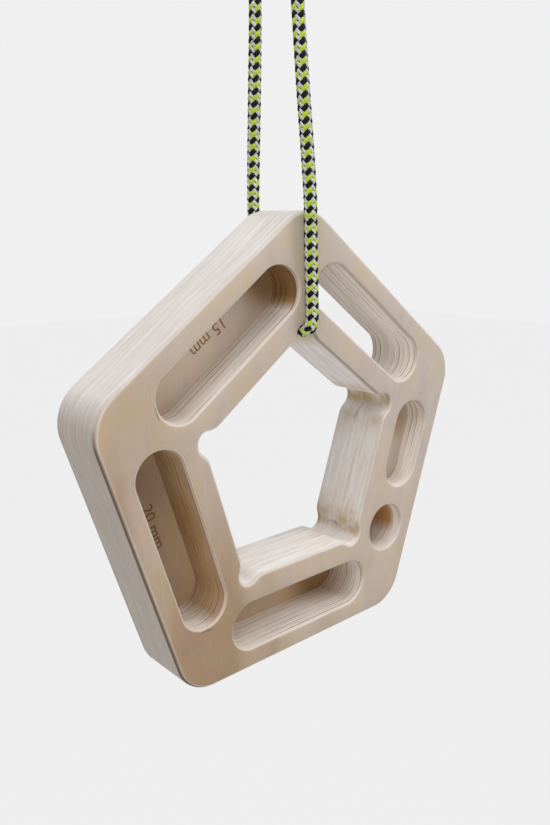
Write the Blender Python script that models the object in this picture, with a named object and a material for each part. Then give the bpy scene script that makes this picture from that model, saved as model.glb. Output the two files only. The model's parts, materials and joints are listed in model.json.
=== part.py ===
"""Pentagon hangboard: a ring of birch plywood with finger pockets, hung in a knotted loop of cord.

The board is pressed from thin veneers whose grain runs upright and across by turns. Pockets of
several depths are routed into its five sides, and every inner corner has a rounded notch for the
cord. Each veneer is a piece of its own, cut by the pockets as deep as they go. The cord goes down
the front face, through the top notch and up the back, and a double fisherman's knot joins its ends.

The origin is the hang point, under the top of the loop. +Z is up and the front face looks along -Y.
"""
import math

import bmesh
import bpy
from mathutils import Matrix, Vector
from mathutils.geometry import tessellate_polygon

MM = 0.001

# The board's outline
OUTER_APOTHEM = 82.6 * MM
BAR_WIDTH = 40.0 * MM
CORNER_RADIUS = 17.0 * MM
EDGE_ROUND = 2.0 * MM

# The plywood
THICKNESS = 27.0 * MM
VENEER_COUNT = 19
GLUE_LINE = 0.3 * MM
LEAST_CUT = 0.15 * MM

# The cord's notches in the inner corners
NOTCH_RADIUS = 4.5 * MM
NOTCH_DEPTH = 2.4 * MM
NOTCH_BLEND = 8.0 * MM

# The pockets, cut along the middle line of each side
POCKET_OFFSET = 1.1 * MM
POCKET_WIDTH = 20.0 * MM
POCKET_LENGTH = 76.0 * MM
RIM_ROUND = 1.5 * MM
RIM_SHARE_OF_LAND = 0.4
SHALLOW_EDGE_DEPTH = 15.0 * MM
DEEP_EDGE_DEPTH = 20.0 * MM
LOWER_EDGE_DEPTH = 20.0 * MM
TWO_FINGER_LENGTH = 40.0 * MM
TWO_FINGER_SHIFT = 15.0 * MM
TWO_FINGER_DEPTH = 10.0 * MM
ONE_FINGER_DIAMETER = 21.0 * MM
ONE_FINGER_SHIFT = -25.0 * MM
ONE_FINGER_DEPTH = 20.0 * MM

# Where the board hangs, seen from the hang point
BOARD_DROP = 230.0 * MM
BOARD_SHIFT = 7.4 * MM

# The cord and its knot
CORD_DIAMETER = 5.0 * MM
FIT_GAP = 0.3 * MM
KNOT_TURNS = 5
KNOT_WIDTH = 19.0 * MM
KNOT_WAIST = 15.0 * MM
TAIL_LENGTH = 14.0 * MM

# Facets
CORNER_STEPS = 6
NOTCH_STEPS = 6
BLEND_STEPS = 2
POCKET_STEPS = 6
ROUND_STEPS = 3
KNOT_SIDES = 14
KNOT_RIDGE_STEPS = 4
CORD_RESOLUTION = 2
CORD_STEPS = 3

SIDES = 5
FIRST_CORNER = math.radians(90)
TURN = 2 * math.pi / SIDES
INNER_APOTHEM = OUTER_APOTHEM - BAR_WIDTH
POCKET_LINE = OUTER_APOTHEM - BAR_WIDTH / 2 + POCKET_OFFSET
CORD_RADIUS = CORD_DIAMETER / 2

# The wood left between the ends of two neighbouring pockets, which limits the rounding of their rims
POCKET_END_TO_CORNER = POCKET_LINE * math.tan(TURN / 2) - (POCKET_LENGTH - POCKET_WIDTH) / 2
POCKET_LAND = 2 * POCKET_END_TO_CORNER * math.cos(TURN / 2) - POCKET_WIDTH
POCKET_RIM = min(RIM_ROUND, RIM_SHARE_OF_LAND * POCKET_LAND)

# The directions in which the sides face, seen from the front
UPPER_RIGHT, UPPER_LEFT, LEFT, BOTTOM, RIGHT = (
    FIRST_CORNER + (side - 0.5) * TURN for side in range(SIDES)
)

# The cord's route in millimetres: from the knot's top, over the hang point, down the front face,
# through the top notch and up the back to the knot's bottom
ROUTE = [
    (0.8, 10.0, -18.0),
    (0.5, 10.0, -12.0),
    (0.3, 9.9, -6.5),
    (0.1, 7.1, -0.4),
    (0.0, 0.0, 2.6),
    (0.1, -7.1, -0.4),
    (0.3, -9.9, -6.5),
    (0.8, -10.1, -20.0),
    (1.4, -10.3, -34.0),
    (2.1, -10.8, -50.0),
    (2.9, -11.9, -68.0),
    (3.8, -13.5, -90.0),
    (4.8, -15.3, -113.0),
    (5.4, -16.2, -127.0),
    (5.8, -16.4, -138.0),
    (6.5, -16.4, -154.0),
    (7.1, -16.4, -166.0),
    (7.3, -16.3, -172.9),
    (7.4, -14.9, -176.4),
    (7.4, -11.5, -177.8),
    (7.4, -4.0, -177.8),
    (7.4, 4.0, -177.8),
    (7.4, 11.5, -177.8),
    (7.4, 14.9, -176.4),
    (7.3, 16.3, -172.9),
    (7.1, 16.4, -166.0),
    (6.5, 16.4, -154.0),
    (5.8, 16.4, -138.0),
    (5.4, 16.2, -127.0),
    (4.8, 15.3, -113.0),
    (3.8, 13.5, -90.0),
    (2.9, 11.9, -68.0),
    (2.4, 11.3, -56.0),
    (1.9, 10.8, -45.0),
]


def clear_scene():
    """Empties the file, so that the script can be run again."""
    for obj in list(bpy.data.objects):
        bpy.data.objects.remove(obj, do_unlink=True)


def finish(obj, colour, roughness):
    """Gives an object a material of its own."""
    material = bpy.data.materials.new(obj.name)
    material.use_nodes = True
    shader = material.node_tree.nodes["Principled BSDF"]
    shader.inputs["Base Color"].default_value = (*colour, 1)
    shader.inputs["Roughness"].default_value = roughness
    shader.inputs["Metallic"].default_value = 0
    obj.data.materials.append(material)


def add_mesh(name, bm, colour, roughness):
    """Turns a finished bmesh into a named object."""
    bmesh.ops.recalc_face_normals(bm, faces=bm.faces)
    mesh = bpy.data.meshes.new(name)
    bm.to_mesh(mesh)
    bm.free()
    obj = bpy.data.objects.new(name, mesh)
    bpy.context.collection.objects.link(obj)
    finish(obj, colour, roughness)
    return obj


def polar(centre, radius, angle):
    """The point at an angle on a circle round a centre."""
    return (centre[0] + radius * math.cos(angle), centre[1] + radius * math.sin(angle))


def arc(centre, radius, start, end, steps):
    """The points of an arc, both ends included."""
    return [polar(centre, radius, start + (end - start) * i / steps) for i in range(steps + 1)]


def board_outline(grow):
    """The board's outside: a regular pentagon with round corners, point up."""
    centre_radius = (OUTER_APOTHEM - CORNER_RADIUS) / math.cos(TURN / 2)
    points = []
    for corner in range(SIDES):
        facing = FIRST_CORNER + corner * TURN
        centre = polar((0, 0), centre_radius, facing)
        points += arc(centre, CORNER_RADIUS + grow, facing - TURN / 2, facing + TURN / 2, CORNER_STEPS)
    return points


def hole_outline(grow):
    """The middle hole: a pentagon whose corners widen into round notches for the cord.

    Each notch is an arc. A blend arc on either side, hollow towards the wood, leads from it to the
    straight edge, and touches both.
    """
    corner_radius = INNER_APOTHEM / math.cos(TURN / 2)
    notch_centre = corner_radius + NOTCH_DEPTH - NOTCH_RADIUS
    reach = NOTCH_RADIUS + NOTCH_BLEND
    edge_distance = INNER_APOTHEM + NOTCH_BLEND - notch_centre * math.cos(TURN / 2)
    opening = TURN / 2 + math.acos(edge_distance / reach)
    points = []
    for corner in range(SIDES):
        facing = FIRST_CORNER + corner * TURN
        notch = polar((0, 0), notch_centre, facing)
        before, after = (polar(notch, reach, facing + side * opening) for side in (-1, 1))
        edge_turn = math.pi - TURN / 2
        notch_turn = math.pi - opening
        points += arc(before, NOTCH_BLEND - grow, facing + edge_turn, facing + notch_turn, BLEND_STEPS)
        points += arc(notch, NOTCH_RADIUS + grow, facing - opening, facing + opening, NOTCH_STEPS)[1:-1]
        points += arc(after, NOTCH_BLEND - grow, facing - notch_turn, facing - edge_turn, BLEND_STEPS)
    return points


def pocket_outline(side, length, shift, width):
    """Returns the outline of a pocket with round ends, lying along a side of the board."""
    along = side + math.pi / 2
    middle = polar(polar((0, 0), POCKET_LINE, side), shift, along)
    straight = (length - width) / 2

    def outline(grow):
        radius = width / 2 + grow
        if straight <= 0:
            steps = 2 * POCKET_STEPS
            return [polar(middle, radius, along + 2 * math.pi * i / steps) for i in range(steps)]
        far = polar(middle, straight, along)
        near = polar(middle, -straight, along)
        return (
            arc(far, radius, along - math.pi / 2, along + math.pi / 2, POCKET_STEPS)
            + arc(near, radius, along + math.pi / 2, along + 3 * math.pi / 2, POCKET_STEPS)
        )

    return outline


def cuts():
    """Every opening in the board: its outline, its depth and the rounding of its rim."""
    full = (POCKET_LENGTH, 0, POCKET_WIDTH)
    two_finger = (TWO_FINGER_LENGTH, TWO_FINGER_SHIFT, POCKET_WIDTH)
    one_finger = (ONE_FINGER_DIAMETER, ONE_FINGER_SHIFT, ONE_FINGER_DIAMETER)
    return [
        (hole_outline, THICKNESS, EDGE_ROUND),
        (pocket_outline(UPPER_RIGHT, *full), THICKNESS, POCKET_RIM),
        (pocket_outline(UPPER_LEFT, *full), SHALLOW_EDGE_DEPTH, POCKET_RIM),
        (pocket_outline(LEFT, *full), DEEP_EDGE_DEPTH, POCKET_RIM),
        (pocket_outline(BOTTOM, *full), LOWER_EDGE_DEPTH, POCKET_RIM),
        (pocket_outline(RIGHT, *two_finger), TWO_FINGER_DEPTH, POCKET_RIM),
        (pocket_outline(RIGHT, *one_finger), ONE_FINGER_DEPTH, POCKET_RIM),
    ]


def rounding(depth, radius, through):
    """How far a rounded edge has moved back into the wood at a depth behind the front face."""
    from_face = min(depth, THICKNESS - depth) if through else depth
    if from_face >= radius:
        return 0
    return radius - math.sqrt(radius**2 - (radius - from_face) ** 2)


def levels(start, end, radius, through):
    """The depths between which a wall is straight, from start to end."""
    steps = [radius * (1 - math.cos(i / ROUND_STEPS * math.pi / 2)) for i in range(1, ROUND_STEPS + 1)]
    if through:
        steps += [THICKNESS - step for step in steps]
    inside = [step for step in steps if start + LEAST_CUT < step < end - LEAST_CUT]
    return [start, *sorted(inside), end]


def add_ring(bm, outline, depth):
    """A loop of vertices at a depth behind the front face."""
    y = depth - THICKNESS / 2
    return [bm.verts.new((BOARD_SHIFT + x, y, z - BOARD_DROP)) for x, z in outline]


def add_wall(bm, outline, direction, start, end, radius, through):
    """Lofts a wall through rings at its levels, and returns the first and the last ring."""
    rings = [
        add_ring(bm, outline(direction * rounding(depth, radius, through)), depth)
        for depth in levels(start, end, radius, through)
    ]
    for ring, following in zip(rings, rings[1:]):
        for i, vertex in enumerate(ring):
            bm.faces.new((ring[i - 1], vertex, following[i], following[i - 1]))
    return rings[0], rings[-1]


def add_cap(bm, rings):
    """Fills the flat face inside the first ring and outside the others."""
    vertices = [vertex for ring in rings for vertex in ring]
    for triangle in tessellate_polygon([[vertex.co for vertex in ring] for ring in rings]):
        bm.faces.new([vertices[i] for i in triangle])


def add_veneer(number):
    """One veneer of the board, cut by every opening that reaches it."""
    pitch = THICKNESS / VENEER_COUNT
    start = number * pitch
    end = start + pitch
    if number < VENEER_COUNT - 1:
        end -= GLUE_LINE
    bm = bmesh.new()
    first, last = add_wall(bm, board_outline, -1, start, end, EDGE_ROUND, True)
    front, back = [first], [last]
    for outline, depth, radius in cuts():
        through = depth >= THICKNESS
        if depth < start + LEAST_CUT:
            continue
        if depth > end - LEAST_CUT:
            first, last = add_wall(bm, outline, 1, start, end, radius, through)
            front.append(first)
            back.append(last)
        else:
            first, floor = add_wall(bm, outline, 1, start, depth, radius, through)
            front.append(first)
            add_cap(bm, [floor])
    add_cap(bm, front)
    add_cap(bm, back)
    upright = number % 2 == 0
    if number == 0:
        name = "front_veneer"
    elif number == VENEER_COUNT - 1:
        name = "back_veneer"
    else:
        name = f"{'upright' if upright else 'cross'}_veneer_{number + 1:02d}"
    colour = (0.62, 0.47, 0.34) if upright else (0.50, 0.36, 0.25)
    return add_mesh(name, bm, colour, 0.6)


def smooth_route(points, steps):
    """A smooth curve through the points, with a few straight steps from each to the next."""
    points = [Vector(point) * MM for point in points]
    ends = [2 * points[0] - points[1], *points, 2 * points[-1] - points[-2]]
    curve = []
    for a, b, c, d in zip(ends, ends[1:], ends[2:], ends[3:]):
        for i in range(steps):
            t = i / steps
            curve.append(
                0.5 * (2 * b + (c - a) * t + (2 * a - 5 * b + 4 * c - d) * t**2 + (3 * b - a - 3 * c + d) * t**3)
            )
    return [*curve, points[-1]]


def add_tube(name, points):
    """A length of cord along a row of points, with closed ends."""
    data = bpy.data.curves.new(name, "CURVE")
    data.dimensions = "3D"
    data.bevel_depth = CORD_RADIUS
    data.bevel_resolution = CORD_RESOLUTION
    data.use_fill_caps = True
    spline = data.splines.new("POLY")
    spline.points.add(len(points) - 1)
    for place, point in zip(spline.points, points):
        place.co = (*point, 1)
    obj = bpy.data.objects.new(name, data)
    bpy.context.collection.objects.link(obj)
    finish(obj, (0.10, 0.13, 0.08), 0.75)
    return obj


def knot_frame():
    """The knot's matrix: its Z runs up the back strand, from one end of the cord to the other."""
    top, bottom = (Vector(ROUTE[i]) * MM for i in (0, -1))
    up = (top - bottom).normalized()
    across = up.cross(Vector((1, 0, 0))).normalized()
    side = across.cross(up)
    turn = Matrix((side, across, up)).transposed().to_4x4()
    return Matrix.Translation((top + bottom) / 2) @ turn, (top - bottom).length


def add_knot():
    """The knot as one barrel, with a ridge for each turn of cord round the two strands."""
    frame, room = knot_frame()
    length = room - 2 * FIT_GAP
    ridge = length / KNOT_TURNS
    profile = []
    for turn in range(KNOT_TURNS):
        for i in range(KNOT_RIDGE_STEPS):
            angle = math.pi * i / KNOT_RIDGE_STEPS
            z = -length / 2 + ridge * (turn + (1 - math.cos(angle)) / 2)
            profile.append((z, 1 - (1 - math.sin(angle)) * ridge / KNOT_WIDTH))
    profile.append((length / 2, profile[0][1]))
    bm = bmesh.new()
    rings = []
    for z, share in profile:
        ring = []
        for i in range(KNOT_SIDES):
            angle = 2 * math.pi * i / KNOT_SIDES
            x = share * KNOT_WAIST / 2 * math.cos(angle)
            y = share * KNOT_WIDTH / 2 * math.sin(angle) + CORD_RADIUS
            ring.append(bm.verts.new(frame @ Vector((x, y, z))))
        rings.append(ring)
    for ring, following in zip(rings, rings[1:]):
        for i, vertex in enumerate(ring):
            bm.faces.new((ring[i - 1], vertex, following[i], following[i - 1]))
    bm.faces.new(rings[0])
    bm.faces.new(rings[-1])
    return add_mesh("fisherman_knot", bm, (0.10, 0.13, 0.08), 0.75)


def add_tail(name, direction):
    """A short end of the cord, which leaves the knot beside the strand and leans away from it."""
    frame, room = knot_frame()
    beside = CORD_DIAMETER + 2 * FIT_GAP
    start = direction * room / 2
    points = [
        frame @ Vector((0, beside + lean**2 * CORD_RADIUS, start + direction * lean * TAIL_LENGTH))
        for lean in (0, 0.25, 0.5, 0.75, 1)
    ]
    return add_tube(name, points)


def build():
    """Makes every piece of the hangboard."""
    clear_scene()
    for number in range(VENEER_COUNT):
        add_veneer(number)
    add_tube("cord", smooth_route(ROUTE, CORD_STEPS))
    add_knot()
    add_tail("upper_tail", 1)
    add_tail("lower_tail", -1)


build()
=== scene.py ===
"""Dresses a pentagon hangboard: birch plywood with finger pockets, hung in a loop of braided cord.

The board is modelled whole, as a joiner would rout it, and then sliced into its veneers. The cord is
braided strand by strand along the route that its solid follows.
"""
import json
import math
from functools import partial
from typing import NamedTuple

import bpy
import numpy as np
from bpy.props import FloatProperty, IntProperty, PointerProperty, StringProperty
from bpy.types import Operator, Panel, PropertyGroup
from mathutils import Matrix, Vector


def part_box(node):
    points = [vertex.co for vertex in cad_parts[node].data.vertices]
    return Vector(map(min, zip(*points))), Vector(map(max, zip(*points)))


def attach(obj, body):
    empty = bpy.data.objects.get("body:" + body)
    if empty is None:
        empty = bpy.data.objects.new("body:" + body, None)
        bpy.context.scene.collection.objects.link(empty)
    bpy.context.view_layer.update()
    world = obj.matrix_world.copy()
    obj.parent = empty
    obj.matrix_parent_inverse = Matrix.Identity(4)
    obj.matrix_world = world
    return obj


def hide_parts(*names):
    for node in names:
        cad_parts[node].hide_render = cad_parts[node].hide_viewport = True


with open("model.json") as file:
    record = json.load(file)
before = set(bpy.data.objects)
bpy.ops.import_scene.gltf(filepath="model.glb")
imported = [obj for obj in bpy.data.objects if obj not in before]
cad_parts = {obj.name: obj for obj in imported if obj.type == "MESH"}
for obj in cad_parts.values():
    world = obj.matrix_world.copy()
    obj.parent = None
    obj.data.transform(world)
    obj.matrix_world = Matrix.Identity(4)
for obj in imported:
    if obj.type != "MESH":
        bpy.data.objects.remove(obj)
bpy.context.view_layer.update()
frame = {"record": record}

bl_info = {
    "name": "Pentagon hangboard",
    "version": (1, 0, 0),
    "blender": (4, 5, 0),
    "location": "3D View > Sidebar > Hangboard",
    "description": "Dresses a plywood hangboard on a cord loop",
    "category": "Add Mesh",
}

MM = 0.001

# The board stands upright round its middle, and its front face looks along -Y
BOARD_LOW, BOARD_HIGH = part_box("front_veneer")
FRONT = BOARD_LOW[1]
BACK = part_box("back_veneer")[1][1]
SIDES = 5
TURN = 2 * math.pi / SIDES
FIRST_CORNER = math.radians(90)

# Where the board's sides face, in degrees, seen from the front
UPPER_RIGHT, UPPER_LEFT, LEFT, BOTTOM, RIGHT = 54, 126, 198, 270, 342

# The cord's route in millimetres, as its solid follows it: from the knot's top, over the hang point,
# down the front face, through the top notch and up the back to the knot's bottom
DOWN = [
    (2.9, -11.9, -68), (3.8, -13.5, -90), (4.8, -15.3, -113), (5.4, -16.2, -127), (5.8, -16.4, -138),
    (6.5, -16.4, -154), (7.1, -16.4, -166), (7.3, -16.3, -172.9), (7.4, -14.9, -176.4),
    (7.4, -11.5, -177.8), (7.4, -4, -177.8),
]
UP = [(x, -y, z) for x, y, z in reversed(DOWN)]
ROUTE = [
    (0.8, 10, -18), (0.5, 10, -12), (0.3, 9.9, -6.5), (0.1, 7.1, -0.4), (0, 0, 2.6), (0.1, -7.1, -0.4),
    (0.3, -9.9, -6.5), (0.8, -10.1, -20), (1.4, -10.3, -34), (2.1, -10.8, -50), *DOWN, *UP,
    (2.4, 11.3, -56), (1.9, 10.8, -45),
]

# How far the sheath has turned round the route, in degrees, at distances along it in millimetres
SHEATH_TURNS = [
    (0, -60), (114, 11), (144, 37), (171, 50), (207, 62), (303, 111), (338, 141), (368, 168), (396, 190),
]

# How far the loop's two ends reach into the knot
KNOT_GRIP = 13 * MM

# A mix node's settings, to lay one colour over another and to tint one with another
BLEND = {"data_type": "RGBA", "out": 2}
TINT = {**BLEND, "blend_type": "MULTIPLY"}


class Finish(NamedTuple):
    """How a way of cutting leaves the edge of the plies."""

    streak: float  # Height of the streaks along the plies, in millimetres
    faint: float  # Share of glue's colour in a line where it fades
    dark: float  # And where it is plainest
    core: float  # Half height of a line's full part, in plies
    reach: float  # Half height of the whole line, in plies
    rim_shade: float  # Share of painted shade in the first line under a rim


FINISHES = {
    "sanded": Finish(1.0, 0.02, 0.3, 0.03, 0.17, 1.0),
    "routed": Finish(0.625, 0.1, 0.7, 0.07, 0.27, 0.25),
    "notched": Finish(2.0, 0.01, 0.14, 0.03, 0.2, 0.5),
    "bored": Finish(0.625, 0.04, 0.6, 0.07, 0.24, 0.3),
}

# The board's nodes, from its front face to its back
VENEERS = sorted(frame["record"]["behaviour"]["bodies"]["board"], key=lambda node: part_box(node)[0][1])
PLY = (BACK - FRONT) / len(VENEERS)


def mm(name, description, millimetres):
    """A length that the panel shows."""
    return FloatProperty(name=name, description=description, default=millimetres * MM, unit="LENGTH")


def colour(name, description, code):
    """A colour that the panel shows, as sRGB hex."""
    return StringProperty(name=name, description=description, default=code)


class BoardSizes(PropertyGroup):
    """The board's real sizes."""

    outer_apothem: mm("Outer apothem", "From the middle to each outer side", 82.6)
    bar_width: mm("Bar width", "Width of each side of the ring", 40)
    corner_radius: mm("Corner radius", "Rounding of the outer corners", 17)
    edge_round: mm("Edge rounding", "Rounding of the outer and inner edges", 2)
    rim_round: mm("Rim rounding", "Rounding of the pockets' rims", 1.5)
    notch_radius: mm("Notch radius", "Radius of the notch in each inner corner", 4.5)
    notch_depth: mm("Notch depth", "How far it goes past the corner", 2.4)
    notch_blend: mm("Notch shoulder", "Rounding beside a notch", 8)
    pocket_offset: mm("Pocket offset", "How far outside its side's middle it lies", 1.1)
    pocket_width: mm("Pocket width", "Width of the long pockets", 20)
    pocket_length: mm("Pocket length", "Length of the long pockets", 76)
    shallow_depth: mm("Shallow edge", "Depth of the upper left pocket", 15)
    deep_depth: mm("Deep edge", "Depth of the left and lower pockets and the bored hole", 20)
    two_finger_length: mm("Two-finger length", "Length of the two-finger pocket", 40)
    two_finger_shift: mm("Two-finger shift", "How far above its side's middle it lies", 15)
    two_finger_depth: mm("Two-finger depth", "Depth of the two-finger pocket", 10)
    one_finger_diameter: mm("One-finger diameter", "Diameter of the one-finger hole", 21)
    one_finger_shift: mm("One-finger shift", "How far above its side's middle it lies", -25)
    letter_height: mm("Mark height", "Height of the figures", 5)


class CordSizes(PropertyGroup):
    """The cord's real sizes."""

    diameter: mm("Diameter", "Diameter of the cord", 5)
    pick: mm("Pick spacing", "From one crossing strand to the next", 2.22)
    columns: IntProperty(name="Columns", description="Coloured rows round the cord", default=4, min=2, max=8)
    knot_wraps: FloatProperty(
        name="Wraps", description="Turns in each half of the knot", default=2.5, min=1, max=5,
    )


class Colours(PropertyGroup):
    """The finishes' colours, as sRGB hex."""

    face: colour("Face veneer", "Sanded birch, flat grain", "d1c3b6")
    gold: colour("Golden figure", "Warmer figure in the birch", "d2c1ab")
    pink: colour("Pink figure", "Rosier figure in the birch", "cdbeb3")
    # Painted shade on the face: it darkens towards the left and most at the lower left, where the light
    # falls off
    deep: colour("Deeper tint", "Tint of the sheet's left", "f0e6da")
    lower_left_shade: colour("Deepest tint", "Tint of the sheet's lower left", "d4c0a8")
    long_grain: colour("Long grain", "Ply cut along its grain", "f4f0ee")
    end_grain: colour("End grain", "Ply cut across its grain", "efeae6")
    glue: colour("Glue line", "Glue between two plies", "7c5838")
    band: colour("Band", "Darker streaks along the edge", "eee6df")
    # The first glue line under a rim, darkened with painted shade where the rim faces down and to the left
    rim: colour("Rim line", "Dirt in the line under a rim", "7a634e")
    # Painted shade on the sides that face left, most on the outer left side
    side_shade: colour("Handled edge", "Tint of the greyed edges", "cbc6c0")
    # Painted shade in the pockets: a little on their walls, and on their floors deeper down
    pocket_wall_shade: colour("Pocket wall", "Tint of the routed walls", "fcfaf6")
    pocket_floor_shade: colour("Pocket floor", "Tint of the deeper routed floors", "f8e8cf")
    # Painted shadow in the pockets, where their walls cast it
    pocket_shadow: colour("Browned wood", "Tint where the cutter dwelt", "b79b73")
    brown: colour("Bored wall", "Wall browned by the boring bit", "b5834a")
    scorch: colour("Scorch", "Wood scorched ochre", "bd9f68")
    burn: colour("Burn", "Wood burnt brown", "74502f")
    mark: colour("Mark", "Depth marks at their darkest", "88633e")
    lime: colour("Lime yarn", "Bright yarn of the sheath", "abc81c")
    pale_lime: colour("Lit lime yarn", "Its paler filaments", "c4dc48")
    black: colour("Black yarn", "Dark yarn of the sheath", "060608")
    pale_black: colour("Lit black yarn", "Its paler filaments", "0e0e11")
    grey: colour("Grey yarn", "Pale yarn of the sheath", "98949e")
    pale_grey: colour("Lit grey yarn", "Its paler filaments", "f2f1f4")
    stage: colour("Stage", "Floor and backdrop", "f0f0f0")


def linear(code):
    """Turns an sRGB hex colour into Blender's linear one."""
    channels = [int(code[i:i + 2], 16) / 255 for i in (0, 2, 4)]
    return (*(c / 12.92 if c <= 0.04045 else ((c + 0.055) / 1.055) ** 2.4 for c in channels), 1.0)


def add_node(tree, kind, inputs=None, stops=None, out=0, **settings):
    """Adds a node with its settings, its ramp's stops and values or links for its sockets."""
    node = tree.nodes.new("ShaderNode" + kind)
    for name, value in settings.items():
        setattr(node, name, value)
    if stops:
        ramp = node.color_ramp.elements
        while len(ramp) < len(stops):
            ramp.new(0.5)
        for element, (position, tone) in zip(ramp, stops):
            element.position = position
            element.color = tone
    for socket, value in (inputs or {}).items():
        if isinstance(value, bpy.types.NodeSocket):
            tree.links.new(value, node.inputs[socket])
        else:
            node.inputs[socket].default_value = value
    return node.outputs[out] if node.outputs else node


def new_material(name, roughness, gloss=0.5, sheen=0.0):
    """A material with one Principled shader."""
    material = bpy.data.materials.new(name)
    material.use_nodes = True
    inputs = material.node_tree.nodes["Principled BSDF"].inputs
    inputs["Roughness"].default_value = roughness
    inputs["Specular IOR Level"].default_value = gloss
    inputs["Sheen Weight"].default_value = sheen
    return material


def dress(material, tone, height=None, strength=0.0, distance=0.0):
    """Gives the material's shader its colour and, with a height, relief from a bump."""
    tree = material.node_tree
    inputs = tree.nodes["Principled BSDF"].inputs
    tree.links.new(tone, inputs["Base Color"])
    if height is not None:
        bump = add_node(tree, "Bump", {"Height": height, "Strength": strength, "Distance": distance})
        tree.links.new(bump, inputs["Normal"])
    return material


def noise(tree, place, scale, detail, distortion=0.0):
    """A pattern of blotches, with that many to a metre along each axis of the place."""
    spread = add_node(tree, "Mapping", {"Vector": place, "Scale": scale})
    inputs = {"Vector": spread, "Scale": 1.0, "Detail": detail, "Distortion": distortion}
    return add_node(tree, "TexNoise", inputs, out="Fac")


def mottled(name, shine, coordinates, scale, detail, stops, relief=None):
    """A material of two tones mixed by noise. Shine is its roughness, gloss and sheen, and relief the
    strength and distance of a bump from the same noise."""
    material = new_material(name, *shine)
    tree = material.node_tree
    place = add_node(tree, "TexCoord", out=coordinates)
    pattern = noise(tree, place, scale, detail)
    tone = add_node(tree, "ValToRGB", {"Fac": pattern}, [(stop, linear(code)) for stop, code in stops])
    return dress(material, tone, pattern, *relief) if relief else dress(material, tone)


def grey(level):
    """A grey of that linear level."""
    return (level, level, level, 1.0)


def mode(name):
    """Goes over to that mode, EDIT or OBJECT."""
    bpy.ops.object.mode_set(mode=name)


def select_mesh():
    """Selects the whole mesh."""
    bpy.ops.mesh.select_all(action="SELECT")


def select_only(piece):
    """Leaves edit mode and makes the piece the only one that operators act on."""
    if bpy.context.object and bpy.context.object.mode == "EDIT":
        mode("OBJECT")
    bpy.ops.object.select_all(action="DESELECT")
    if piece:
        piece.select_set(True)
        bpy.context.view_layer.objects.active = piece


def pick(piece, vertices=None, edges=None):
    """Selects in edit mode only the vertices or edges that pass the test."""
    mode("OBJECT")
    mesh = piece.data
    for parts in (mesh.polygons, mesh.edges, mesh.vertices):
        parts.foreach_set("select", [False] * len(parts))
    if vertices:
        for vertex in mesh.vertices:
            vertex.select = vertices(vertex.co)
    else:
        for edge in mesh.edges:
            edge.select = edges(edge)
    bpy.context.tool_settings.mesh_select_mode = (bool(vertices), not vertices, False)
    mode("EDIT")


def arc_shape(turn):
    """The bevel profile that makes a true arc of a corner where the outline turns so far."""
    return (1 - 1 / (2 * (1 + math.cos(turn / 2)))) ** 2


def round_picked(offset, segments, shape, what="VERTICES"):
    """Bevels what is selected."""
    bpy.ops.mesh.bevel(
        offset_type="OFFSET", offset=offset, segments=segments, profile=shape, affect=what,
        clamp_overlap=False,
    )


def pentagon(name, apothem):
    """A flat upright pentagon that stands on one side, round the origin."""
    select_only(None)
    corner = apothem / math.cos(TURN / 2)
    upright = (math.radians(90), 0, 0)
    bpy.ops.mesh.primitive_circle_add(vertices=SIDES, radius=corner, fill_type="NGON", rotation=upright)
    bpy.ops.object.transform_apply()
    piece = bpy.context.object
    piece.name = name
    mode("EDIT")
    bpy.ops.mesh.select_mode(type="VERT")
    select_mesh()
    return piece


def push_back(start, depth):
    """Pulls a closed block out of the flat outline, along Y from its start."""
    select_mesh()
    bpy.ops.transform.translate(value=(0, start, 0))
    bpy.ops.mesh.extrude_region_move(TRANSFORM_OT_translate={"value": (0, depth, 0)})
    select_mesh()
    bpy.ops.mesh.normals_make_consistent(inside=False)
    mode("OBJECT")


def sawn_blank(sizes, thickness):
    """The board as sawn, with its corners rounded, and its front face at y = 0."""
    blank = pentagon("blank", sizes.outer_apothem)
    round_picked(sizes.corner_radius * math.tan(TURN / 2), segments=14, shape=arc_shape(TURN))
    push_back(0, thickness)
    return blank


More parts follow.
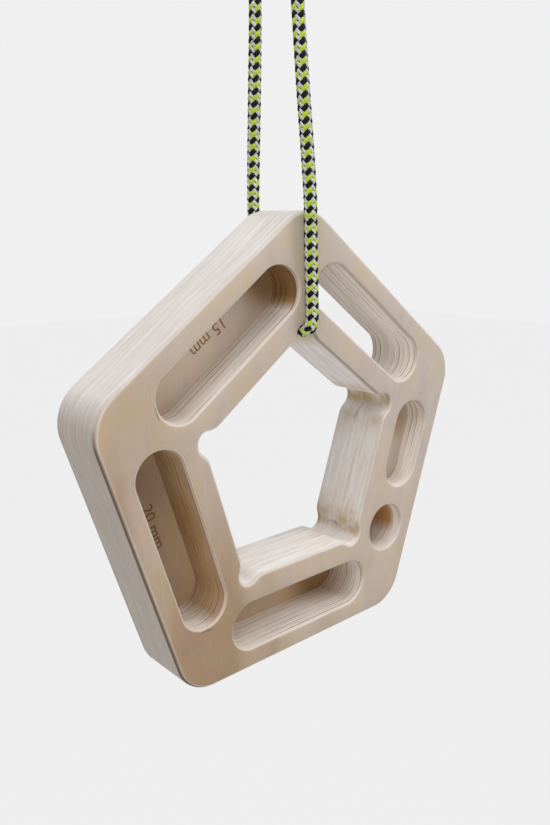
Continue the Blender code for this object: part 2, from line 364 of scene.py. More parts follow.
def hole_cutter(sizes, thickness):
    """The middle hole as a block to cut away: a pentagon with a round notch in each corner. Its corners
    are cut off where the shoulders start and pulled out to tips, and these and the shoulders rounded."""
    apothem = sizes.outer_apothem - sizes.bar_width
    corner = apothem / math.cos(TURN / 2)
    notch = corner + sizes.notch_depth - sizes.notch_radius
    reach = sizes.notch_radius + sizes.notch_blend
    opening = TURN / 2 + math.acos((apothem + sizes.notch_blend - notch * math.cos(TURN / 2)) / reach)
    shoulder_turn = opening - TURN / 2
    shoulder = notch * math.sin(TURN / 2) - reach * math.sin(shoulder_turn)
    shoulder += sizes.notch_blend * math.tan(shoulder_turn / 2)
    throat = sizes.notch_radius * math.tan(opening / 2)
    tip = notch + sizes.notch_radius / math.cos(opening)

    cutter = pentagon("hole_cutter", apothem)
    round_picked(apothem * math.tan(TURN / 2) - shoulder, 1, 0.5)
    mesh = cutter.data

    def is_short(edge):
        start, end = (mesh.vertices[i].co for i in edge.vertices)
        return (end - start).length < shoulder

    pick(cutter, edges=is_short)
    bpy.ops.mesh.subdivide(number_cuts=1)
    off_corner = 0.01
    pick(cutter, lambda co: abs(math.remainder(math.atan2(co.z, co.x) - FIRST_CORNER, TURN)) < off_corner)
    mode("OBJECT")
    grow = tip / max(math.hypot(v.co.x, v.co.z) for v in mesh.vertices if v.select)
    mode("EDIT")
    bpy.ops.transform.resize(value=(grow, 1, grow), center_override=(0, 0, 0))
    round_picked(math.hypot(tip - notch - sizes.notch_radius, throat), 1, 0.5)
    pick(cutter, lambda co: math.hypot(co.x, co.z) > corner)
    round_picked(throat, segments=8, shape=arc_shape(opening))
    at_shoulder, near, doubled, clear = math.hypot(apothem, shoulder), 0.05 * MM, 0.08 * MM, 5 * MM
    pick(cutter, lambda co: abs(math.hypot(co.x, co.z) - at_shoulder) < near)
    round_picked(
        sizes.notch_blend * math.tan(shoulder_turn / 2), segments=8, shape=arc_shape(shoulder_turn)
    )
    select_mesh()
    bpy.ops.mesh.remove_doubles(threshold=doubled)
    push_back(-clear, thickness + 2 * clear)
    return cutter


def pocket_place(sizes, side, shift):
    """The matrix of a pocket: X runs along its side of the board, Z into the wood."""
    angle = math.radians(side)
    out = Vector((math.cos(angle), 0, math.sin(angle)))
    along = Vector((-math.sin(angle), 0, math.cos(angle)))
    depth = Vector((0, 1, 0))
    line = sizes.outer_apothem - sizes.bar_width / 2 + sizes.pocket_offset
    turn = Matrix((along, depth.cross(along), depth)).transposed().to_4x4()
    return Matrix.Translation(out * line + along * shift) @ turn


def pocket_cutter(sizes, side, length, shift, width, depth):
    """A cutter with round ends, from in front of the board down to the pocket's floor."""
    select_only(None)
    lead = 5 * MM
    bpy.ops.mesh.primitive_cylinder_add(
        vertices=66, radius=width / 2, depth=depth + lead, location=(0, 0, (depth - lead) / 2)
    )
    bpy.ops.object.transform_apply()
    cutter = bpy.context.object
    for end in (1, -1):
        pick(cutter, lambda co: co.x * end > 0)
        bpy.ops.transform.translate(value=(end * (length - width) / 2, 0, 0))
    mode("OBJECT")
    cutter.matrix_world = pocket_place(sizes, side, shift)
    bpy.ops.object.transform_apply()
    return cutter


def board_middle(sizes):
    """The middle of the board's front face: centred in its box, a corner's reach below its top."""
    reach = (sizes.outer_apothem - sizes.corner_radius) / math.cos(TURN / 2) + sizes.corner_radius
    return Vector(((BOARD_LOW[0] + BOARD_HIGH[0]) / 2, FRONT, BOARD_HIGH[2] - reach))


def shadow_spots(sizes):
    """The places where shadow is painted in the pockets: each one's middle, its reach, how dark its walls
    and its floor are painted, and which way the shaded walls face, in degrees."""
    end = (sizes.pocket_length - sizes.pocket_width) / 2
    two = sizes.two_finger_shift + (sizes.two_finger_length - sizes.pocket_width) / 2
    rows = (
        (UPPER_LEFT, -1.28 * end, sizes.shallow_depth, 16 * MM, 0.0, 0.9, 260),
        (UPPER_LEFT, -1.14 * end, 0.5 * sizes.shallow_depth, 36 * MM, 1.65, 0.0, 240),
        (LEFT, -0.8 * end, 0.6 * sizes.deep_depth, 40 * MM, 0.95, 0.12, 220),
        (LEFT, 0.8 * end, 0.6 * sizes.deep_depth, 40 * MM, 0.95, 0.0, 202),
        (BOTTOM, end, sizes.deep_depth, 24 * MM, 0.5, 0.8, 180),
        (RIGHT, two, 0.5 * sizes.two_finger_depth, 15 * MM, 0.55, 0.45, 252),
    )
    middle = board_middle(sizes)
    return [
        (middle + pocket_place(sizes, side, along) @ Vector((0, 0, depth)), *look)
        for side, along, depth, *look in rows
    ]


def cut_away(block, cutter, finish):
    """Cuts the cutter's shape out of the block, and leaves that finish on the new walls."""
    for material in block.data.materials:
        cutter.data.materials.append(material)
    slot = list(FINISHES).index(finish)
    cutter.data.polygons.foreach_set("material_index", [slot] * len(cutter.data.polygons))
    select_only(block)
    cut = block.modifiers.new("cut", "BOOLEAN")
    cut.operation = "DIFFERENCE"
    cut.solver = "EXACT"
    cut.material_mode = "INDEX"
    cut.object = cutter
    bpy.ops.object.modifier_apply(modifier=cut.name)
    bpy.data.objects.remove(cutter)


def round_rims(block, thickness, radius):
    """Rounds the edges where a wall still meets the front or back face sharply."""
    mesh = block.data
    flat, wall = set(), set()
    for face in mesh.polygons:
        if abs(face.normal.y) > 0.9:
            flat.update(face.edge_keys)
        elif abs(face.normal.y) < 0.1:
            wall.update(face.edge_keys)
    sharp = flat & wall

    def on_a_face(edge):
        heights = [mesh.vertices[i].co.y for i in edge.vertices]
        return edge.key in sharp and all(min(abs(y), abs(y - thickness)) < 0.01 * MM for y in heights)

    pick(block, edges=on_a_face)
    round_picked(radius, segments=4, shape=0.5, what="EDGES")
    mode("OBJECT")


class Birch:
    """Birch plywood, bare: on the flat, fine streaks and a soft gold and rosy figure; on the cut edge, pale
    wood between thin brown lines of glue. Sanding leaves the outer edge pale and its lines faint, and the
    router leaves the pockets' lines dark. Shade is painted into the colour too: on the face towards the
    lower left, on the sides that face left, under rims that face down and left, and in the pockets, deeper
    down and where shadows fall."""

    def __init__(self, name, grain, finish, sizes, colours):
        self.material = new_material(name, 0.6, gloss=0.25)
        self.tree = self.material.node_tree
        self.add = add = partial(add_node, self.tree)
        self.grain, self.finish, self.look = grain, finish, FINISHES[finish]
        self.sizes, self.colours = sizes, colours

        # The coordinates that the patterns share
        self.place = add("TexCoord", out="Object")
        self.normal = add("TexCoord", out="Normal")
        turn = math.radians(90) if grain == "X" else 0
        self.turned = add("Mapping", {"Vector": self.place, "Rotation": (0, turn, 0)})
        self.centred = add("VectorMath", {0: self.place, 1: board_middle(sizes)}, operation="SUBTRACT")
        y = add("SeparateXYZ", {"Vector": self.place}, out="Y")
        self.depth = add("Math", {0: y, 1: FRONT}, operation="SUBTRACT")
        self.ply = add("Math", {0: self.depth, 1: PLY}, operation="DIVIDE")
        self.left_down = self.facing(LEFT, 0.3, 0.75)

        flat, edge = self.flat_grain(), self.cut_edge()
        if finish in ("routed", "bored"):
            flat, edge = self.shade_pockets(flat, edge)
        if finish == "routed":
            flat, edge = self.paint_pocket_shadows(flat, edge)
        if finish == "bored":
            edge = self.brown_bore(edge)
        if finish == "notched":
            edge = self.scorch(edge)
        edge = self.round_rims(flat, edge)
        if finish in ("sanded", "notched"):
            edge = self.paint_side_shade(edge)

        level = add("SeparateXYZ", {"Vector": self.normal}, out="Y")
        level = add("Math", {0: level}, operation="ABSOLUTE")
        flatness = add("ValToRGB", {"Fac": level}, [(0.86, grey(0.0)), (0.97, grey(1.0))])
        tone = add("Mix", {0: flatness, 6: edge, 7: flat}, **BLEND)
        dress(self.material, tone, self.streaks(0.5, 14, 4), 0.12, 0.15 * MM)

    def streaks(self, size, length, detail, distortion=0.0):
        """Noise with blotches of that size across the grain and that length along it, in millimetres."""
        scale = (1000 / size, 1000 / size, 1000 / length)
        return noise(self.tree, self.turned, scale, detail, distortion)

    def facing(self, way, none, full, share=1.0):
        """How squarely the surface faces that way: 0 up to one cosine and the share from the other."""
        angle = math.radians(way)
        inputs = {0: self.normal, 1: (math.cos(angle), 0, math.sin(angle))}
        cosine = self.add("VectorMath", inputs, out="Value", operation="DOT_PRODUCT")
        return self.add("MapRange", {"Value": cosine, "From Min": none, "From Max": full, "To Max": share})

    def flat_grain(self):
        """The flat of a veneer: figure in blotches of 11 by 30 mm, and vessels of 0.5 by 9 mm."""
        add, colours = self.add, self.colours
        figure = [(0.36, linear(colours.pink)), (0.48, linear(colours.face)), (0.63, linear(colours.gold))]
        flat = add("ValToRGB", {"Fac": self.streaks(11, 30, 3, 0.8)}, figure)
        vessels = [(0.3, grey(0.93)), (0.7, grey(1.0))]
        vessels = add("ValToRGB", {"Fac": self.streaks(0.5, 9, 4)}, vessels)
        flat = add("Mix", {0: 1.0, 6: flat, 7: vessels}, **TINT)
        if self.finish != "sanded":
            return flat

        # Painted shade: the face is pale and greyish at the upper right and darkens towards the lower left,
        # where the light falls off
        slope = {0: self.centred, 1: (-5.2, -14, -3)}
        across = add("VectorMath", slope, out="Value", operation="DOT_PRODUCT")
        across = add("Math", {0: across, 1: self.streaks(30, 90, 2)}, operation="ADD")
        stops = {0.1: "f6f6f7", 0.35: "fbf8f4", 0.55: "faf6f0", 0.82: colours.deep, 1.0: colours.lower_left_shade}
        sheet = add("ValToRGB", {"Fac": across}, [(stop, linear(code)) for stop, code in stops.items()])
        return add("Mix", {0: 1.0, 6: flat, 7: sheet}, **TINT)

    def cut_edge(self):
        """The edge of the plies: long grain or end grain, streaks of 17 mm along the plies, and glue lines
        a ply apart, each of which comes and goes."""
        add, colours, look = self.add, self.colours, self.look
        ends = (0, 180) if self.grain == "X" else (90, 270)
        one, other = (self.facing(way, 0.7, 1.0) for way in ends)
        end_share = add("Math", {0: one, 1: other}, operation="ADD")
        edge = {0: end_share, 6: linear(colours.long_grain), 7: linear(colours.end_grain)}
        edge = add("Mix", edge, **BLEND)
        bands = noise(self.tree, self.place, (60, 1000 / look.streak, 60), 4.0)
        bands = add("ValToRGB", {"Fac": bands}, [(0.3, linear(colours.band)), (0.65, grey(1.0))])
        edge = add("Mix", {0: 1.0, 6: edge, 7: bands}, **TINT)

        off_line = add("Math", {0: self.ply, 1: 0.5}, operation="PINGPONG")
        comes = noise(self.tree, self.place, (35, 1 / PLY, 35), 1.0)
        strength = {"From Min": 0.42, "From Max": 0.6, "To Min": look.faint, "To Max": look.dark}
        strength = add("MapRange", {"Value": comes, **strength})
        line = {"Value": off_line, "From Min": look.reach, "From Max": look.core, "To Max": strength}
        line = add("MapRange", line)
        if self.finish == "sanded":
            # On the side that faces left and down, the glue lines are fainter
            clear = add("MapRange", {"Value": self.left_down, "To Min": 1.0, "To Max": 0.45})
            line = add("Math", {0: line, 1: clear}, operation="MULTIPLY")
        if self.finish in ("routed", "bored"):
            # The cutter smears pale dust over every second line
            second = add("Math", {0: self.ply}, operation="ROUND")
            second = add("Math", {0: second, 1: 2.0}, operation="MODULO")
            second = add("MapRange", {"Value": second, "To Min": 0.3, "To Max": 1.0})
            line = add("Math", {0: line, 1: second}, operation="MULTIPLY")
        return add("Mix", {0: line, 6: edge, 7: linear(colours.glue)}, **BLEND)

    def shade_pockets(self, flat, edge):
        """Painted shade warms and darkens the walls a little, and the floors from 14 mm down and most at 20.
        """
        deep_down = {"Value": self.depth, "From Min": 14 * MM, "From Max": 20 * MM, "To Min": 0.1}
        deep_down = self.add("MapRange", deep_down)
        flat = self.add("Mix", {0: deep_down, 6: flat, 7: linear(self.colours.pocket_floor_shade)}, **TINT)
        return flat, self.add("Mix", {0: 1.0, 6: edge, 7: linear(self.colours.pocket_wall_shade)}, **TINT)

    def paint_pocket_shadows(self, flat, edge):
        """Painted shadow darkens and browns the pockets round those places, twice over on the walls where it
        is darkest.
        """
        add = self.add
        on_walls, on_floors = 0.0, 0.0
        for spot, reach, wall_share, floor_share, way in shadow_spots(self.sizes):
            away = add("VectorMath", {0: self.place, 1: spot}, out="Value", operation="DISTANCE")
            near = {"Value": away, "From Min": reach, "From Max": 0.3 * reach}
            near = add("MapRange", near, interpolation_type="SMOOTHSTEP")
            on_floors = add("Math", {0: near, 1: floor_share, 2: on_floors}, operation="MULTIPLY_ADD")
            near = self.facing(way, -0.3, 0.35, near)
            on_walls = add("Math", {0: near, 1: wall_share, 2: on_walls}, operation="MULTIPLY_ADD")
        again = add("Math", {0: on_walls, 1: 1.0}, operation="SUBTRACT", use_clamp=True)
        pocket_shadow = linear(self.colours.pocket_shadow)
        for share in (on_walls, again):
            edge = add("Mix", {0: share, 6: edge, 7: pocket_shadow}, **TINT)
        return add("Mix", {0: on_floors, 6: flat, 7: pocket_shadow}, **TINT), edge

    def brown_bore(self, edge):
        """The boring bit browned the hole's wall on its right, from the second ply down."""
        browned = {"Value": self.ply, "From Min": 2.0, "From Max": 4.5, "To Max": 0.95}
        browned = self.facing(229.4, -0.1, 0.5, self.add("MapRange", browned))
        return self.add("Mix", {0: browned, 6: edge, 7: linear(self.colours.brown)}, **BLEND)

    def scorch(self, edge):
        """The cutter scorched the ends of the notches, in smears of 9 by 7 mm and darker ones of 4 by 5."""
        add, colours = self.add, self.colours
        upright = add("VectorMath", {0: self.centred, 1: (1, 0, 1)}, operation="MULTIPLY")
        away = add("VectorMath", {0: upright}, out="Value", operation="LENGTH")
        near_end = add("MapRange", {"Value": away, "From Min": 44.5 * MM, "From Max": 50 * MM})
        near_end = self.facing(199.3, 0.45, 0.85, near_end)
        for across, along, clear, full, most, code in (
            (9, 7, 0.25, 0.6, 0.75, colours.scorch), (4, 5, 0.6, 0.74, 0.6, colours.burn),
        ):
            smears = noise(self.tree, self.place, (1000 / along, 1000 / across, 1000 / along), 2.0)
            smears = add("MapRange", {"Value": smears, "From Min": clear, "From Max": full, "To Max": most})
            smears = add("Math", {0: smears, 1: near_end}, operation="MULTIPLY")
            edge = add("Mix", {0: smears, 6: edge, 7: linear(code)}, **BLEND)
        return edge

    def round_rims(self, flat, edge):
        """A rim keeps the face's colour down to the first glue line, which painted shade darkens where the
        rim faces down and to the left."""
        add = self.add
        from_back = add("Math", {0: float(len(VENEERS)), 1: self.ply}, operation="SUBTRACT")
        outer_ply = add("Math", {0: self.ply, 1: from_back}, operation="MINIMUM")
        share = add("Math", {0: self.left_down, 1: 0.45, 2: 0.405}, operation="MULTIPLY_ADD")
        in_face = {"Value": outer_ply, "From Min": 1.0, "From Max": 0.6, "To Max": share}
        edge = add("Mix", {0: add("MapRange", in_face), 6: edge, 7: flat}, **BLEND)
        off_first = add("Math", {0: outer_ply, 1: 0.45}, operation="SUBTRACT")
        off_first = add("Math", {0: off_first}, operation="ABSOLUTE")
        rim_shade = {"Value": off_first, "From Min": 0.95, "From Max": 0.5, "To Max": self.look.rim_shade}
        rim_shade = self.facing(225, 0.45, 0.8, add("MapRange", rim_shade))
        return add("Mix", {0: rim_shade, 6: edge, 7: linear(self.colours.rim)}, **BLEND)

    def paint_side_shade(self, edge):
        """Painted shade greys the outer left side, which faces away from the light, and the middle hole's
        right wall a little.
        """
        way, most = (LEFT, 0.95) if self.finish == "sanded" else (RIGHT - 180, 0.36)
        side_shade = self.facing(way, 0.4, 0.9, most)
        return self.add("Mix", {0: side_shade, 6: edge, 7: linear(self.colours.side_shade)}, **TINT)


class HANGBOARD_OT_board(Operator):
    """Routs the board out of one block and slices it into its veneers."""

    bl_idname = "hangboard.board"
    bl_label = "Board"

    def execute(self, context):
        sizes, colours = context.scene.hangboard_board, context.scene.hangboard_colours
        thickness = BACK - FRONT
        woods = {
            kind: [Birch(f"{cut}_birch_{kind}", grain, cut, sizes, colours).material for cut in FINISHES]
            for kind, grain in (("upright", "Z"), ("cross", "X"))
        }
        block = sawn_blank(sizes, thickness)
        for wood in woods["upright"]:
            block.data.materials.append(wood)
        cut_away(block, hole_cutter(sizes, thickness), "notched")
        round_rims(block, thickness, sizes.edge_round)
        through = thickness + 5 * MM
        width, one = sizes.pocket_width, sizes.one_finger_diameter
        long = (sizes.pocket_length, 0, width)
        short = (sizes.two_finger_length, sizes.two_finger_shift, width)
        for side, shape, depth, finish in (
            (UPPER_RIGHT, long, through, "routed"),
            (UPPER_LEFT, long, sizes.shallow_depth, "routed"),
            (LEFT, long, sizes.deep_depth, "routed"),
            (BOTTOM, long, sizes.deep_depth, "routed"),
            (RIGHT, short, sizes.two_finger_depth, "routed"),
            (RIGHT, (one, sizes.one_finger_shift, one), sizes.deep_depth, "bored"),
        ):
            cut_away(block, pocket_cutter(sizes, side, *shape, depth), finish)
        round_rims(block, thickness, sizes.rim_round)
        block.location = board_middle(sizes)
        select_only(block)
        bpy.ops.object.transform_apply()

        slots = {"front": "face_veneer", "back": "face_veneer"}
        slots |= {"cross": "cross_veneer", "upright": "upright_veneer"}
        for i, node in enumerate(VENEERS):
            veneer = block.copy()
            veneer.data = block.data.copy()
            veneer.name = node + "_cut"
            context.collection.objects.link(veneer)
            select_only(veneer)
            mode("EDIT")
            for cut, other in ((i, {"clear_inner": True}), (i + 1, {"clear_outer": True})):
                if 0 < cut < len(VENEERS):
                    select_mesh()
                    bpy.ops.mesh.bisect(
                        plane_co=(0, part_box(VENEERS[cut])[0][1], 0), plane_no=(0, 1, 0), use_fill=True,
                        threshold=0.001 * MM, **other
                    )
            mode("OBJECT")
            kind = node.split("_")[0]
            for number, wood in enumerate(woods.get(kind, woods["upright"])):
                veneer.data.materials[number] = wood
            bpy.ops.object.shade_smooth_by_angle(angle=math.radians(28))
            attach(veneer, "board")
            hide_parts(node)
        bpy.data.objects.remove(block)
        return {"FINISHED"}


class HANGBOARD_OT_marks(Operator):
    """Burns the edges' depths into the floors of two pockets."""

    bl_idname = "hangboard.marks"
    bl_label = "Depth marks"

    def execute(self, context):
        sizes, colours = context.scene.hangboard_board, context.scene.hangboard_colours
        # Wood browned by a laser, a little unevenly, in blotches of a millimetre
        burnt = mottled(
            "laser_burnt_birch", (0.8, 0.2), "Object", (1100, 1100, 1100), 2.0,
            [(0.35, colours.mark), (0.75, "a67d50")],
        )
        # The figures stand 0.08 mm off the floor, a little off its middle
        aside, lift, half = -0.7 * MM, 0.03 * MM, 0.05 * MM
        pockets = (("15 mm", UPPER_LEFT, sizes.shallow_depth), ("20 mm", LEFT, sizes.deep_depth))
        for words, side, depth in pockets:
            select_only(None)
            bpy.ops.object.text_add()
            mark = context.object
            mark.name = "depth_mark_" + words.replace(" ", "_")
            mark.data.body = words
            mark.data.size = 1.38 * sizes.letter_height
            mark.data.extrude = half
            mark.data.align_x, mark.data.align_y = "CENTER", "CENTER"
            bpy.ops.object.convert(target="MESH")
            # Read from the middle of the board, the figures stand upright
            turn = Matrix.Rotation(math.pi, 4, "X")
            pocket = pocket_place(sizes, side, 0)
            in_pocket = Matrix.Translation((aside, 0, depth - lift))
            mark.matrix_world = Matrix.Translation(board_middle(sizes)) @ pocket @ in_pocket @ turn
            bpy.ops.object.transform_apply()
            mark.data.materials.append(burnt)
            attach(mark, "board")
        return {"FINISHED"}


def distances(line):
    """How far along the line each of its points lies."""
    return np.concatenate(([0], np.cumsum(np.linalg.norm(np.diff(line, axis=0), axis=1))))


def unit(rows):
    """The same directions, each one long."""
    return rows / np.linalg.norm(rows, axis=1)[:, None]


def smooth_route(points, step):
    """A smooth curve through points in millimetres, as points at even distances near the step."""
    points = [Vector(point) * MM for point in points]
    ends = [2 * points[0] - points[1], *points, 2 * points[-1] - points[-2]]
    curve = []
    for a, b, c, d in zip(ends, ends[1:], ends[2:], ends[3:]):
        for t in (i / 24 for i in range(24)):
            bend = (2 * a - 5 * b + 4 * c - d) * t**2 + (3 * b - a - 3 * c + d) * t**3
            curve.append(0.5 * (2 * b + (c - a) * t + bend))
    curve = np.array([*curve, points[-1]])
    along = distances(curve)
    places = np.linspace(0, along[-1], max(2, round(along[-1] / step) + 1))
    return np.stack([np.interp(places, along, curve[:, i]) for i in range(3)], axis=1)


def carried_frames(path, first):
    """Two directions square to the path at each point, carried along it without turning."""
    tangents = unit(np.gradient(path, axis=0))
    side = np.empty_like(path)
    vector = np.array(first, dtype=float)
    for i, tangent in enumerate(tangents):
        vector = vector - tangent * vector.dot(tangent)
        vector /= np.linalg.norm(vector)
        side[i] = vector
    return side, np.cross(tangents, side)


def tubes(name, lines, radials, widths, height, sides, materials, material_of):
    """One mesh of closed flat tubes, one for each line, as wide as given and high along its radial. In
    the UV map X runs along a tube, at 5 mm to the unit, and Y once round it."""
    vertices, faces, uvs, chosen = [], [], [], []
    angles = np.arange(sides) * 2 * math.pi / sides
    for k, (line, radial, width) in enumerate(zip(lines, radials, widths)):
        tangent = unit(np.gradient(line, axis=0))
        up = unit(radial - tangent * np.sum(radial * tangent, axis=1)[:, None])
        wide = np.cross(tangent, up)
        ring = line[:, None] + up[:, None] * (height * np.cos(angles))[None, :, None]
        ring += wide[:, None] * (width * np.sin(angles))[None, :, None]
        first = sum(map(len, vertices))
        count = len(line)
        vertices.append(ring.reshape(-1, 3))
        along = distances(line) / (5 * MM)
        for i in range(count - 1):
            here = first + i * sides
            for j in range(sides):
                n = (j + 1) % sides
                faces.append((here + j, here + n, here + sides + n, here + sides + j))
                low, high = j / sides, (j + 1) / sides
                uvs += [(along[i], low), (along[i], high), (along[i + 1], high), (along[i + 1], low)]
        faces.append(tuple(first + j for j in reversed(range(sides))))
        faces.append(tuple(first + (count - 1) * sides + j for j in range(sides)))
        uvs += [(0, 0)] * (2 * sides)
        chosen += [material_of(k)] * (len(faces) - len(chosen))
    mesh = bpy.data.meshes.new(name)
    mesh.from_pydata(np.concatenate(vertices).tolist(), [], faces)
    mesh.uv_layers.new(name="UVMap").data.foreach_set("uv", np.array(uvs, dtype=np.float32).ravel())
    for material in materials:
        mesh.materials.append(material)
    mesh.polygons.foreach_set("material_index", chosen)
    mesh.polygons.foreach_set("use_smooth", [True] * len(faces))
    piece = bpy.data.objects.new(name, mesh)
    bpy.context.collection.objects.link(piece)
    return piece


def braid(name, path, first, sizes, yarns, turns=((0, 0), (1, 0)), tight=1.0):
    """A length of sheath: strands that turn one way round the path, and as many that turn the other way.

    Each passes over two of the other way and under the next two. Lime and black ones turn one way and
    come to the top in four columns, and grey ones the other way, between them. The sheath has turned
    round the path by those degrees at those distances in millimetres."""
    radius = tight * sizes.diameter / 2
    count = 2 * sizes.columns
    lead = count * sizes.pick
    weave, slack, strand_height, core_radius = 0.15, 0.10, 0.18, 0.74
    side, other = carried_frames(path, first)
    along = distances(path)
    turned = np.radians(np.interp(along / MM, *zip(*turns)))
    lines, radials, widths = [], [], []
    # Each way's shift, and as shares of the radius how far out its strands lie and their half widths
    ways = ((1, 0, 0.77, 0.37, 0.43), (-1, math.pi / count, 0.71, 0.27, 0.27))
    for way, shift, place, even, odd in ways:
        for k in range(count):
            inner = 2 * math.pi * k / count + way * 2 * math.pi * along / lead + shift
            rise = radius * (place + weave * np.cos(sizes.columns * inner))
            angle = inner - 2 * shift + slack * np.sin(sizes.columns * inner) + turned
            radial = side * np.cos(angle)[:, None] + other * np.sin(angle)[:, None]
            lines.append(path + radial * rise[:, None])
            radials.append(radial)
            widths.append((odd if k % 2 else even) * radius)
    high = strand_height * radius
    sheath = tubes(name, lines, radials, widths, high, 6, yarns, lambda k: k % 2 if k < count else 2)
    core = core_radius * radius
    core = tubes(name + "_core", [path], [side], [core], core, 12, [yarns[1]], lambda k: 0)
    select_only(sheath)
    core.select_set(True)
    bpy.ops.object.join()
    return sheath


def yarns(colours):
    """The sheath's three polyester yarns, made once: fine filaments along each strand, dull with a
    little sheen. They are finer than the picture shows, so they are drawn in coarser bundles."""
    wanted = (
        ("lime_polyester_yarn", colours.lime, colours.pale_lime, 0.2),
        ("black_polyester_yarn", colours.black, colours.pale_black, 0.0),
        ("grey_polyester_yarn", colours.grey, colours.pale_grey, 0.15),
    )
    return [
        bpy.data.materials.get(name)
        or mottled(
            name, (0.6, 0.15, sheen), "UV", (1.2, 14, 1), 3.0, [(0.35, dark), (0.65, pale)], (0.5, 0.1 * MM),
        )
        for name, dark, pale, sheen in wanted
    ]


def knot_frame():
    """The knot's matrix and length: its Z runs up the back strand, from end to end of the cord."""
    top, bottom = (Vector(ROUTE[i]) * MM for i in (0, -1))
    up = (top - bottom).normalized()
    across = up.cross(Vector((1, 0, 0))).normalized()
    turn = Matrix((across.cross(up), across, up)).transposed().to_4x4()
    return Matrix.Translation((top + bottom) / 2) @ turn, (top - bottom).length


def whole_route(step):
    """The loop's route from inside one end of the knot to inside the other, at even steps."""
    knot, room = knot_frame()
    reach = (room / 2 - KNOT_GRIP, room / 2 - KNOT_GRIP / 2)
    top = [knot @ Vector((0, 0, z)) / MM for z in reach]
    bottom = [knot @ Vector((0, 0, -z)) / MM for z in reversed(reach)]
    return smooth_route([*top, *ROUTE, *bottom], step)


class HANGBOARD_OT_cord(Operator):
    """Braids the loop from one end of its knot to the other."""

    bl_idname = "hangboard.cord"
    bl_label = "Cord"

    def execute(self, context):
        sizes, made_of = context.scene.hangboard_cord, yarns(context.scene.hangboard_colours)
        # The braid is a little tight, to clear the notch when the board rocks
        path = whole_route(0.55 * MM)
        cord = braid("cord_braid", path, (1, 0, 0), sizes, made_of, SHEATH_TURNS, tight=0.965)
        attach(cord, "sling")
        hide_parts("cord")
        return {"FINISHED"}


class HANGBOARD_OT_knot(Operator):
    """Ties the double fisherman's knot and leaves its two ends."""

    bl_idname = "hangboard.knot"
    bl_label = "Knot and ends"

    def execute(self, context):
        sizes, colours = context.scene.hangboard_cord, context.scene.hangboard_colours
        knot, room = knot_frame()
        radius = sizes.diameter / 2
        # A cut end is melted with a flame, which leaves a dark, dull bead
        melted = bpy.data.materials.get("melted_polyester") or mottled(
            "melted_polyester", (0.45,), "Object", (900, 900, 900), 3.0,
            [(0.4, "17150f"), (0.7, "4a4a1c")], (0.6, 0.3 * MM),
        )
        pieces, made_of = [], yarns(colours)
        for word, way in (("upper", 1), ("lower", -1)):
            path = smooth_route([knot @ point / MM for point in self.turns(sizes, way)], 0.6 * MM)
            wraps = braid("knot_" + word + "_turns", path, (0.3, 0.4, 1), sizes, made_of, tight=0.98)
            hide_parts("fisherman_knot")

            path = smooth_route([knot @ point / MM for point in self.tail(sizes, way, room)], 0.55 * MM)
            tail = braid(word + "_tail_braid", path, (1, 0, 0), sizes, made_of, ((0, 20), (20, 30)))
            end, before = Vector(path[-1]), Vector(path[-3])
            select_only(None)
            bpy.ops.mesh.primitive_uv_sphere_add(segments=24, ring_count=14, radius=0.98 * radius)
            bead = context.object
            bead.name = word + "_melted_end"
            mode("EDIT")
            select_mesh()
            bpy.ops.transform.resize(value=(1, 1, 0.3), center_override=(0, 0, 0))
            mode("OBJECT")
            turn = (end - before).to_track_quat("Z", "Y").to_matrix().to_4x4()
            bead.matrix_world = Matrix.Translation(end) @ turn
            bpy.ops.object.transform_apply()
            bpy.ops.object.shade_smooth()
            bead.data.materials.append(melted)
            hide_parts(word + "_tail")
            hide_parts(word + "_tail")
            pieces += [wraps, tail, bead]
        for piece in pieces:
            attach(piece, "sling")
        path = whole_route(2 * MM)
        return {"FINISHED"}

    def turns(self, sizes, way):
        """The line of one half's turns, which start flat against the other half and work outwards."""
        steps, taper, narrow = 90, 0.12, 0.35
        wide, deep = 5.0 * MM, 7.0 * MM
        first, flat_share, rise = 2.4 * MM, 0.15, 8.7 * MM
        points = []
        for i in range(steps + 1):
            t = i / steps
            # The ends of the line spiral in, to where the other strand runs through
            out = min(1, t / taper, (1 - t) / taper)
            out = narrow + (1 - narrow) * out * out * (3 - 2 * out)
            angle = math.radians(200) + 2 * math.pi * (sizes.knot_wraps - 0.4) * t
            x, y = wide * math.cos(angle) * out, deep * math.sin(angle) * out
            z = first + rise * max(0, t - flat_share) / (1 - flat_share)
            points.append(Vector((x, 0.56 * sizes.diameter + way * y, way * z)))
        return points

    def tail(self, sizes, way, room):
        """The line of a tail, which leaves the knot beside the strand and leans away from it."""
        beside = sizes.diameter + 0.6 * MM
        points = [Vector((0, beside - 1.2 * MM, way * (room / 2 - 9 * MM)))]
        for lean in (0, 0.25, 0.5, 0.75, 1):
            out, up = lean**2 * sizes.diameter / 2, lean * 8 * MM
            points.append(Vector((0, beside + out, way * (room / 2 + up))))
        return points


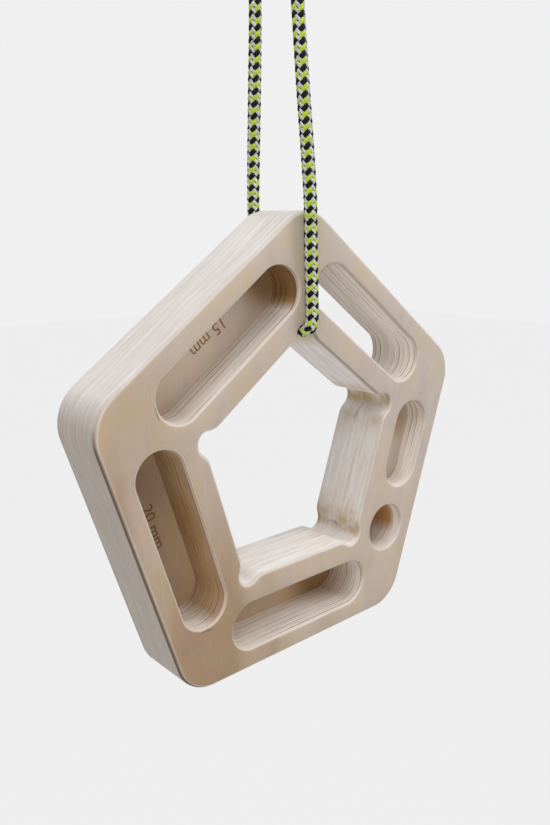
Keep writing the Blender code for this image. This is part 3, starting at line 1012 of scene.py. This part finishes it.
class HANGBOARD_OT_stage(Operator):
    """Sets up the camera, the soft light, the floor and the pale surroundings."""

    bl_idname = "hangboard.stage"
    bl_label = "Stage"

    def execute(self, context):
        scene, colours = context.scene, context.scene.hangboard_colours
        select_only(None)
        bpy.ops.object.camera_add(
            location=(-0.20148, -0.22609, -0.13848),
            rotation=[math.radians(angle) for angle in (76.389, -0.192, -42.062)],
        )
        camera = context.object
        camera.data.lens = 33.404
        camera.data.sensor_width = 36
        camera.data.clip_start = 0.01
        scene.camera = camera
        scene.view_settings.view_transform = "Standard"

        # A small lamp on the right, a wide, strong one above on the left, and weaker ones low and behind
        middle = Vector((0.007, 0, -0.23))
        for name, place, size, power in (
            ("softbox_right", (0.52, -0.42, 0.12), 0.4, 2.5),
            ("softbox_above", (-0.54, -0.40, 0.76), 0.9, 6.5),
            ("softbox_left", (-0.74, -0.60, -0.48), 0.8, 2.9),
            ("softbox_behind", (0.10, 0.70, 0.50), 0.7, 2.0),
        ):
            bpy.ops.object.light_add(type="AREA", location=place)
            lamp = context.object
            lamp.name = name
            lamp.data.shape = "DISK"
            lamp.data.size = size
            lamp.data.energy = power
            lamp.rotation_euler = (middle - lamp.location).to_track_quat("-Z", "Y").to_euler()

        # The floor, seen by the camera nearly as pale as the surroundings, so its shadow is faint
        bpy.ops.mesh.primitive_plane_add(size=12, location=(0, 0, -0.95))
        floor = context.object
        floor.name = "floor"
        bpy.ops.object.transform_apply()
        material = bpy.data.materials.new("pale_studio_floor")
        tree, seen = self.cleared(material)
        glow_share = 0.97
        share = add_node(tree, "Math", {0: seen, 1: glow_share}, operation="MULTIPLY")
        pale = linear(colours.stage)
        plain = add_node(tree, "BsdfDiffuse", {"Color": pale})
        glow = add_node(tree, "Emission", {"Color": pale, "Strength": 1.0})
        mixed = add_node(tree, "MixShader", {0: share, 1: plain, 2: glow})
        add_node(tree, "OutputMaterial", {"Surface": mixed})
        floor.data.materials.append(material)

        world = scene.world = scene.world or bpy.data.worlds.new("studio")
        tree, seen = self.cleared(world)
        surroundings = 0.33
        strength = add_node(tree, "MapRange", {"Value": seen, "To Min": surroundings, "To Max": 1.0})
        sky = add_node(tree, "Background", {"Color": pale, "Strength": strength})
        add_node(tree, "OutputWorld", {"Surface": sky})
        return {"FINISHED"}

    def cleared(self, owner):
        """The owner's emptied nodes, and 1 for rays from the camera or sent on by gloss or glass."""
        owner.use_nodes = True
        tree = owner.node_tree
        tree.nodes.clear()
        seen = add_node(tree, "LightPath", out="Is Camera Ray")
        for sent_on in ("Is Glossy Ray", "Is Transmission Ray"):
            ray = add_node(tree, "LightPath", out=sent_on)
            seen = add_node(tree, "Math", {0: seen, 1: ray}, operation="MAXIMUM")
        return tree, seen


class HANGBOARD_PT_panel(Panel):
    """Lists the sizes, the colours and the steps in the 3D view's sidebar."""

    bl_label = "Hangboard"
    bl_idname = "HANGBOARD_PT_panel"
    bl_space_type = "VIEW_3D"
    bl_region_type = "UI"
    bl_category = "Hangboard"

    def draw(self, context):
        for group, kind in GROUPS.items():
            box = self.layout.box()
            for name in kind.__annotations__:
                box.prop(getattr(context.scene, group), name)
        for step in STEPS:
            self.layout.operator(step.bl_idname)


STEPS = (HANGBOARD_OT_stage, HANGBOARD_OT_cord, HANGBOARD_OT_knot, HANGBOARD_OT_board, HANGBOARD_OT_marks)
GROUPS = {"hangboard_board": BoardSizes, "hangboard_cord": CordSizes, "hangboard_colours": Colours}


def register():
    for item in (*GROUPS.values(), *STEPS, HANGBOARD_PT_panel):
        bpy.utils.register_class(item)
    for name, group in GROUPS.items():
        setattr(bpy.types.Scene, name, PointerProperty(type=group))


def unregister():
    for name in GROUPS:
        delattr(bpy.types.Scene, name)
    for item in reversed((*GROUPS.values(), *STEPS, HANGBOARD_PT_panel)):
        bpy.utils.unregister_class(item)


def main():
    register()
    bpy.ops.hangboard.stage()
    bpy.ops.hangboard.cord()
    bpy.ops.hangboard.knot()
    bpy.ops.hangboard.board()
    bpy.ops.hangboard.marks()


if __name__ == "__main__":
    main()
